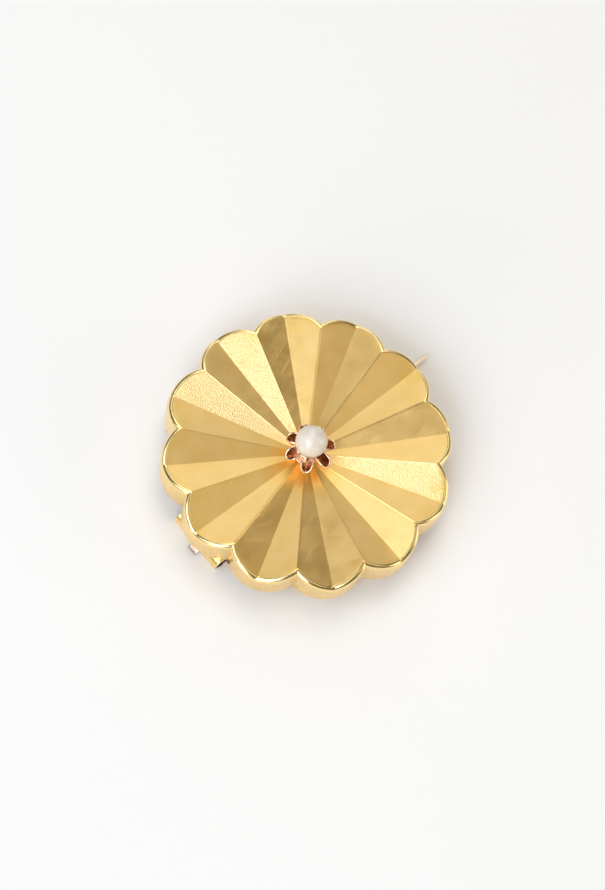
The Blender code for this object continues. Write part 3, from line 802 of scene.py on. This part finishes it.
def claw_top_distance():
    """Axis to the centre of a scoop's arc at its top, so that its legs end close to the pearl."""
    pearl_there = math.sqrt(PEARL_RADIUS ** 2 - CLAW_GRIP_DROP ** 2)
    leg_end = pearl_there + CLAW_CLEARANCE + CLAW_THICKNESS / 2
    return math.sqrt(leg_end ** 2 - CLAW_TOP_ARC ** 2) + CLAW_LEG


def claw_point(across, up, longer):
    """Point on a claw's middle surface: across from leg to leg (-1 to 1), up from foot to lip."""
    flare = max(up, 0.0) ** CLAW_FLARE
    arc = CLAW_FOOT_ARC + (CLAW_TOP_ARC - CLAW_FOOT_ARC) * flare
    distance = CLAW_FOOT_DISTANCE + (claw_top_distance() + longer - CLAW_FOOT_DISTANCE) * flare
    side = math.copysign(1.0, across)
    on_leg = max(0.0, abs(across) - 1 + CLAW_LEG_SHARE) / CLAW_LEG_SHARE
    angle = side * math.radians(90) * min(1.0, abs(across) / (1 - CLAW_LEG_SHARE))
    x = distance + arc * math.cos(angle) - on_leg * (CLAW_LEG + longer) * flare
    y = arc * math.sin(angle)
    lean = 0.5 - 0.5 * math.cos(math.radians(180) * abs(across))
    top = PEARL_HEIGHT - CLAW_LIP_DROP + (CLAW_LIP_DROP - CLAW_GRIP_DROP) * lean
    bottom = FOOT_TOP + CLAW_FOOT_GAP
    return Vector((x, y, bottom + (top - bottom) * up))


def claw_frame(across, up, longer):
    """A claw's surface point, its upward direction and its outward normal there."""
    step = 0.002
    point = claw_point(across, up, longer)
    along = (point - claw_point(across, up - step, longer)).normalized()
    low, high = max(-1.0, across - step), min(1.0, across + step)
    round_it = (claw_point(high, up, longer) - claw_point(low, up, longer)).normalized()
    return point, along, round_it.cross(along).normalized()


def claw_section(across, longer):
    """Closed section through a claw: up its outer side, over the rounded lip and down inside."""
    half = CLAW_THICKNESS / 2
    outside = []
    inside = []
    for i in range(CLAW_ROWS + 1):
        share = i / CLAW_ROWS
        point, along, normal = claw_frame(across, CLAW_BOTTOM + CLAW_REACH * share, longer)
        bead = half + (CLAW_LIP - half) * max(0.0, (share - CLAW_LIP_START) / CLAW_LIP_SHARE)
        outside.append(point + normal * bead)
        inside.append(point - normal * bead)
    lip = []
    for i in range(1, CLAW_LIP_ROWS):
        angle = math.radians(180) * i / CLAW_LIP_ROWS
        lip.append(point + (normal * math.cos(angle) + along * math.sin(angle)) * CLAW_LIP)
    return outside + lip + inside[::-1]


def claw_shade(share):
    """Painted shade at a share of the way round a claw's section: it darkens the lower inner side
    of the scoop, for the shade and dark reflections there.
    """
    return CLAW_SHADE * min(1.0, max(0.0, share - 0.6) / 0.2)


def make_claws(material):
    """Seven scoops round the pearl, each with a rounded lip."""
    shares = [2 * i / CLAW_COLUMNS - 1 for i in range(CLAW_COLUMNS + 1)]
    for k in range(CLAWS):
        turn = CLAW_PHASE + FULL_TURN * k / CLAWS
        longer = CLAW_UNEVEN * math.cos(turn - CLAW_LONG_SIDE)
        rows = [claw_section(across, longer) for across in shares]
        bm = skin(rows, caps=True)
        bmesh.ops.transform(bm, matrix=Matrix.Rotation(turn, 4, "Z"), verts=bm.verts[:])
        claw = add_piece(f"scoop_claw_{k + 1}", bm, material, "brooch",
                         (f"claw_{k + 1}",), 50)
        points = len(rows[0])
        lip = range(CLAW_ROWS - 2, points - CLAW_ROWS + 2)
        # Each claw's lip is glossier from wear and painted lighter as a painted highlight.
        paint(claw, "wear_and_highlight", lambda i, place: float(i % points in lip))
        # The inside of each scoop is painted darker: painted shade and dark reflections.
        paint(claw, "painted_shade", lambda i, place: claw_shade((i % points) / points))


def make_collet(material):
    """Turned collet: foot, waisted stem and the cup under the pearl."""
    seat = PEARL_LOW[2] - SEAT_GAP
    rim = PEARL_HEIGHT - math.sqrt(PEARL_RADIUS ** 2 - CUP_OUTSIDE ** 2) - CUP_GAP
    spigot_end = CENTRE_HEIGHT - SPIGOT_DEPTH
    profile = [(ON_AXIS, seat), (CUP_FLOOR_RADIUS, seat), (CUP_INNER_RADIUS, rim)]
    profile += round_corner((CUP_RADIUS, rim - CUP_EASE), CUP_EASE, 100, 0, 4)
    for i in range(WAIST_STEPS + 1):
        share = i / WAIST_STEPS
        flare = (0.5 + 0.5 * math.cos(math.radians(180) * share)) ** WAIST_POWER
        height = rim - CUP_HEIGHT + (FOOT_TOP + 0.1 * MM - rim + CUP_HEIGHT) * share
        profile.append((WAIST_RADIUS + WAIST_FLARE * flare, height))
    # A small fillet of solder where the stem meets the foot.
    profile += [(0.66 * MM, FOOT_TOP + 0.03 * MM), (0.75 * MM, FOOT_TOP)]
    profile += round_corner((FOOT_RADIUS - FOOT_EASE, FOOT_TOP - FOOT_EASE), FOOT_EASE, 90, -60, 6)
    profile += [(SPIGOT_RADIUS, FOOT_BOTTOM), (SPIGOT_RADIUS, spigot_end), (ON_AXIS, spigot_end)]
    bm = turned(profile, closed=False)
    bmesh.ops.remove_doubles(bm, verts=bm.verts[:], dist=0.001 * MM)
    collet = add_piece("waisted_collet", bm, material, "brooch", ("setting_collet",))
    # The cup under the pearl is painted darker: painted shade.
    paint(collet, "painted_shade", lambda i, place: CUP_SHADE * float(place.z > rim - CUP_HEIGHT))


def make_pearl(material):
    """Pearl, slightly off round as a grown one is."""
    bm = bmesh.new()
    bmesh.ops.create_icosphere(bm, subdivisions=6, radius=PEARL_RADIUS)
    for vert in bm.verts:
        way = vert.co.normalized()
        swell = noise.noise(way * 1.3 + PEARL_SAMPLE) + 0.35 * noise.noise(way * 4.0)
        vert.co = way * PEARL_RADIUS * (1 - PEARL_UNEVEN * (0.75 + 0.5 * swell))
        vert.co.z += PEARL_HEIGHT
    add_piece("grown_pearl", bm, material, "brooch", ("pearl",), 180)


# ---------------------------------------------------------------- hinge, pin and catch

def tube_profile(length, bore):
    """Section of a tube with rounded ends, as (radius, height) about its middle."""
    half = length / 2
    ease = TUBE_EASE
    profile = round_corner((TUBE_RADIUS - ease, half - ease), ease, 90, 0)
    profile += round_corner((TUBE_RADIUS - ease, ease - half), ease, 0, -90)
    profile += round_corner((bore + ease / 2, ease / 2 - half), ease / 2, -90, -180, 4)
    profile += round_corner((bore + ease / 2, half - ease / 2), ease / 2, 180, 90, 4)
    return profile


def on_hinge(bm, y):
    """Lay a turned piece along the hinge's axis with its middle at y."""
    place = Matrix.Translation((HINGE_X, y, HINGE_Z)) @ Matrix.Rotation(math.radians(-90), 4, "X")
    bmesh.ops.transform(bm, matrix=place, verts=bm.verts[:])
    return bm


def block(size, ease):
    """Box with rounded edges, centred on the origin."""
    bm = bmesh.new()
    bmesh.ops.create_cube(bm, size=1.0, matrix=Matrix.Diagonal((*size, 1.0)))
    bmesh.ops.bevel(bm, geom=bm.edges[:], offset=ease, segments=3, profile=0.5, affect="EDGES")
    return bm


def joined(bm, other):
    """Add another mesh's faces to a mesh."""
    scratch = bpy.data.meshes.new("scratch")
    other.to_mesh(scratch)
    other.free()
    bm.from_mesh(scratch)
    bpy.data.meshes.remove(scratch)
    return bm


def rounded_outline(low, high, corner, height, inset):
    """Ring of a rectangle with rounded corners at one height, drawn in by inset."""
    right, left = high.x - corner, low.x + corner
    back, front = high.y - corner, low.y + corner
    reach = corner - inset
    ring = []
    corners = ((right, back, 0), (left, back, 90), (left, front, 180), (right, front, 270))
    for x, y, start in corners:
        for j in range(CORNER_STEPS + 1):
            turn = math.radians(start + 90 * j / CORNER_STEPS)
            ring.append(Vector((x + reach * math.cos(turn), y + reach * math.sin(turn), height)))
    return ring


def make_base(name, low, high, corner, material, replaced):
    """Soldered base plate with round corners, an eased edge and solder running out to the back."""
    rows = [rounded_outline(low, high, corner, low.z, 0.9 * corner)]
    edge = low.z + BASE_EASE
    for inset, height in round_corner((BASE_EASE, edge), BASE_EASE, 270, 180):
        rows.append(rounded_outline(low, high, corner, height, inset))
    for i in range(1, SOLDER_ROWS + 1):
        angle = math.radians(90) * i / SOLDER_ROWS
        reach = SOLDER_RUN * (1 - math.cos(angle))
        height = edge * (1 - math.sin(angle))
        rows.append(rounded_outline(low, high, corner, height, -reach))
    bm = skin(rows, caps=True)
    add_piece(name, bm, material, "brooch", (replaced,))


def tube_shade(index, place):
    """Painted shade in a tube's bore and on its end faces, for the shade and dark reflections
    there.
    """
    from_axis = math.hypot(place.x - HINGE_X, place.z - HINGE_Z)
    return clamped((TUBE_RADIUS - BORE_SHADE_EDGE - from_axis) / BORE_SHADE_FADE)


def make_tube(name, low, high, material, replaced):
    """One fixed tube of the hinge, dark inside."""
    bm = on_hinge(turned(tube_profile(high[1] - low[1], TUBE_BORE)), (low[1] + high[1]) / 2)
    tube = add_piece(name, bm, material, "brooch", (replaced,))
    # The bore and end faces are painted dark: painted shade.
    paint(tube, "painted_shade", tube_shade)


def make_rivet(material):
    """The pivot of the pin, with a domed head at each end."""
    half = (RIVET_HIGH[1] - RIVET_LOW[1]) / 2
    dome = round_corner((RIVET_RADIUS - RIVET_DOME, half - RIVET_DOME), RIVET_DOME, 90, 0)
    profile = [(ON_AXIS, half)] + dome
    profile += [(radius, -height) for radius, height in dome[::-1]]
    profile.append((ON_AXIS, -half))
    bm = on_hinge(turned(profile, closed=False, caps=True), (RIVET_HIGH[1] + RIVET_LOW[1]) / 2)
    add_piece("domed_rivet", bm, material, "brooch", ("hinge_rivet",))


def make_hinge(gold, rose):
    """Two fixed tubes, the rivet through them and their base."""
    make_tube("near_tube", NEAR_LOW, NEAR_HIGH, gold, "hinge_tube_near")
    make_tube("far_tube", FAR_LOW, FAR_HIGH, gold, "hinge_tube_far")
    make_rivet(rose)
    cut = Vector((BASE_TRIM, BASE_CUT, 0.0))
    low, high = Vector(BASE_LOW) + cut, Vector(BASE_HIGH) - cut
    make_base("soldered_hinge_base", low, high, BASE_CORNER, gold, "hinge_base")


def make_knuckle(material):
    """The pin's knuckle with the tang that stops it."""
    bm = on_hinge(turned(tube_profile(KNUCKLE_LENGTH, KNUCKLE_BORE)), KNUCKLE_Y)
    start = (TUBE_RADIUS + RIVET_RADIUS) / 2
    tang = block((TANG_LENGTH - start, TANG_WIDTH, TANG_THICKNESS), TANG_EASE)
    place = Matrix.Translation((HINGE_X, KNUCKLE_Y, HINGE_Z)) @ Matrix.Rotation(-TANG_DROP, 4, "Y")
    shift = Matrix.Translation((-(TANG_LENGTH + start) / 2, 0.0, 0.0))
    bmesh.ops.transform(tang, matrix=place @ shift, verts=tang.verts[:])
    knuckle = add_piece("knuckle_and_tang", joined(bm, tang), material, "pin",
                        ("pin_knuckle",))
    dark_from = HINGE_X - TANG_LENGTH * math.cos(TANG_DROP) + TANG_SHADE_LENGTH
    # The tang's far end is painted dark: painted shade and dark reflections.
    paint(knuckle, "painted_shade", lambda i, place: TANG_END_SHADE * float(place.x < dark_from))


def pin_direction():
    """Unit direction of the pin from the hinge, through its seat in the catch, to its tip."""
    seat = FLOOR_HEIGHT + HOOK_THICKNESS + SEAM + PIN_RADIUS
    slope = (seat - HINGE_Z) / (CATCH_X - HINGE_X)
    drift = (PIN_TIP_Y - KNUCKLE_Y) / (PIN_HIGH[0] - HINGE_X)
    return Vector((1.0, drift, slope)).normalized()


def pin_profile(length):
    """Section of the wire as (radius, distance from the hinge): flared root, shank and taper."""
    root = TUBE_RADIUS - PIN_ROOT_SINK
    shank = root + PIN_ROOT_LENGTH
    taper = length - PIN_TAPER
    profile = [(ON_AXIS, root)]
    for i in range(PIN_ROOT_STEPS + 1):
        share = i / PIN_ROOT_STEPS
        radius = PIN_RADIUS + PIN_ROOT_FLARE * (1 - share) ** 2.2
        profile.append((radius, root + PIN_ROOT_LENGTH * share))
    for i in range(1, PIN_SHANK_STEPS):
        profile.append((PIN_RADIUS, shank + (taper - shank) * i / PIN_SHANK_STEPS))
    for i in range(PIN_TAPER_STEPS + 1):
        share = i / PIN_TAPER_STEPS
        radius = PIN_TIP_RADIUS + (PIN_RADIUS - PIN_TIP_RADIUS) * math.sqrt(1 - share ** 1.5)
        profile.append((radius, taper + (PIN_TAPER - 0.01 * MM) * share))
    profile.append((ON_AXIS, length - 0.002 * MM))
    return profile


def make_pin(material):
    """Drawn wire with a flared root and a long fine taper."""
    direction = pin_direction()
    length = (PIN_HIGH[0] - HINGE_X) / direction.x
    bm = turned(pin_profile(length), steps=48, closed=False)
    facing = direction.to_track_quat("Z", "Y").to_matrix().to_4x4()
    place = Matrix.Translation((HINGE_X, KNUCKLE_Y, HINGE_Z)) @ facing
    bmesh.ops.transform(bm, matrix=place, verts=bm.verts[:])
    add_piece("tapered_pin", bm, material, "pin", ("pin_stem",))


def hook_path():
    """Middle line of the catch's strip as (y, z): down from its base and round under the pin."""
    bend_z = FLOOR_HEIGHT + HOOK_THICKNESS + HOOK_INNER_RADIUS
    radius = HOOK_INNER_RADIUS + HOOK_THICKNESS / 2
    top = BASE_LOW[2] - SEAM
    path = []
    for i in range(HOOK_LEG_STEPS):
        path.append(Vector((radius, top + (bend_z - top) * i / HOOK_LEG_STEPS)))
    for i in range(HOOK_BEND_STEPS + 1):
        angle = -HOOK_BEND * i / HOOK_BEND_STEPS
        path.append(Vector((radius * math.cos(angle), bend_z + radius * math.sin(angle))))
    return path


def hook_section():
    """Section of the catch's strip, with rounded edges, as (through, across) its thickness."""
    half_width = (HOOK_HIGH[0] - HOOK_LOW[0]) / 2
    half = HOOK_THICKNESS / 2
    corner = round_corner((half - HOOK_EASE, half_width - HOOK_EASE), HOOK_EASE, 0, 90, 5)
    section = corner + [(-a, b) for a, b in corner[::-1]]
    section += [(-a, -b) for a, b in corner] + [(a, -b) for a, b in corner[::-1]]
    return section


def strip_ring(section, centre, along, thin=1.0, narrow=1.0):
    """The strip's section, thinned and narrowed, round a point of its middle line."""
    across = Vector((-along.y, along.x))
    ring = []
    for out, wide in section:
        middle = centre + across * out * thin
        ring.append(Vector((CATCH_X + wide * narrow, CATCH_Y + middle.x, middle.y)))
    return ring


def make_catch(material):
    """C-shaped strip with rounded edges and a flat end, on its soldered base."""
    path = hook_path()
    section = hook_section()
    rows = []
    for i, point in enumerate(path):
        before, after = path[max(i - 1, 0)], path[min(i + 1, len(path) - 1)]
        rows.append(strip_ring(section, point, (after - before).normalized()))
    # Smaller rings in the plane of the end carry the faces in towards its middle.
    along = (path[-1] - path[-2]).normalized()
    for i in range(1, HOOK_END_STEPS + 1):
        shrink = math.cos(math.radians(80) * i / HOOK_END_STEPS)
        thin = HOOK_END_THIN + (1 - HOOK_END_THIN) * shrink
        narrow = HOOK_END_NARROW + (1 - HOOK_END_NARROW) * shrink
        rows.append(strip_ring(section, path[-1], along, thin, narrow))
    bm = skin(rows, caps=True)
    add_piece("curled_catch", bm, material, "brooch", ("catch_hook",))
    low, high = Vector(CATCH_LOW), Vector(CATCH_HIGH)
    make_base("soldered_catch_base", low, high, CATCH_CORNER, material, "catch_base")


def dress_node(node, material):
    """Give a CAD node that stays in view its material."""
    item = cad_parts[node]
    item.data.materials.clear()
    item.data.materials.append(material)


# ---------------------------------------------------------------- stage

def make_floor():
    """Pale floor that the brooch lies on."""
    bm = bmesh.new()
    bmesh.ops.create_grid(bm, x_segments=1, y_segments=1, size=FLOOR_SIZE)
    mesh = bpy.data.meshes.new("floor")
    bm.to_mesh(mesh)
    bm.free()
    mesh.materials.append(floor_material())
    floor = bpy.data.objects.new("floor", mesh)
    floor.location.z = FLOOR_HEIGHT
    bpy.context.scene.collection.objects.link(floor)


def direction_of(azimuth, elevation):
    """Unit vector towards a place round the brooch; azimuth 0 is towards +X."""
    turn, rise = math.radians(azimuth), math.radians(elevation)
    level = math.cos(rise)
    return Vector((math.cos(turn) * level, math.sin(turn) * level, math.sin(rise)))


def add_softbox(name, azimuth, elevation, radiance, tint):
    """Square soft light that faces the brooch; radiance is how bright its face looks."""
    light = bpy.data.lights.new(name, "AREA")
    light.shape = "SQUARE"
    light.size = SOFTBOX_SIZE
    light.energy = radiance * math.pi * SOFTBOX_SIZE ** 2
    light.color = tint
    lamp = bpy.data.objects.new(name, light)
    way = direction_of(azimuth, elevation)
    lamp.location = way * SOFTBOX_DISTANCE
    lamp.rotation_euler = way.to_track_quat("Z", "Y").to_euler()
    bpy.context.scene.collection.objects.link(lamp)


def make_surround():
    """Dim warm surround that is brighter along the horizon."""
    world = bpy.data.worlds.new("surround")
    world.use_nodes = True
    tree = world.node_tree
    background = tree.nodes["Background"]
    background.inputs["Color"].default_value = (*WORLD_COLOUR, 1.0)
    direction = tree.nodes.new("ShaderNodeTexCoord").outputs["Generated"]
    parts = tree.nodes.new("ShaderNodeSeparateXYZ")
    tree.links.new(direction, parts.inputs["Vector"])
    strength = remapped(tree, parts.outputs["Z"], 0.0, HORIZON_HEIGHT,
                        HORIZON_STRENGTH, WORLD_STRENGTH)
    tree.links.new(strength, background.inputs["Strength"])
    bpy.context.scene.world = world


def make_lights():
    """A ring of soft lights, strongest overhead and to the left, in a dim warm surround."""
    for name, settings in SOFTBOXES.items():
        add_softbox(name, *settings)
    make_surround()


def make_camera():
    """Long-lensed camera high above the front, turned and rolled about its view."""
    data = bpy.data.cameras.new("camera")
    data.lens = CAMERA_LENS
    data.sensor_width = CAMERA_SENSOR
    data.clip_start, data.clip_end = CAMERA_CLIP
    camera = bpy.data.objects.new("camera", data)
    turn, rise = math.radians(CAMERA_AZIMUTH), math.radians(CAMERA_ELEVATION)
    level = math.cos(rise)
    back = Vector((math.sin(turn) * level, -math.cos(turn) * level, math.sin(rise)))
    facing = Matrix.Rotation(turn, 4, "Z") @ Matrix.Rotation(math.radians(90) - rise, 4, "X")
    roll = Matrix.Rotation(math.radians(CAMERA_ROLL), 4, "Z")
    camera.matrix_world = Matrix.Translation(CAMERA_TARGET + back * CAMERA_DISTANCE) @ facing @ roll
    bpy.context.scene.collection.objects.link(camera)
    bpy.context.scene.camera = camera
    bpy.context.scene.view_settings.view_transform = "Standard"


def main():
    """Dress every node and set the stage."""
    satin = satin_gold()
    polished = polished_gold()
    rose = rose_gold()
    pin = pin_metal()
    pearl = nacre()
    make_front(satin)
    make_wall(polished)
    make_back(polished)
    make_collet(rose)
    make_claws(rose)
    make_pearl(pearl)
    make_hinge(polished, rose)
    make_knuckle(pin)
    make_pin(pin)
    make_catch(polished)
    dress_node("pearl_peg", rose)
    make_floor()
    make_lights()
    make_camera()


main()
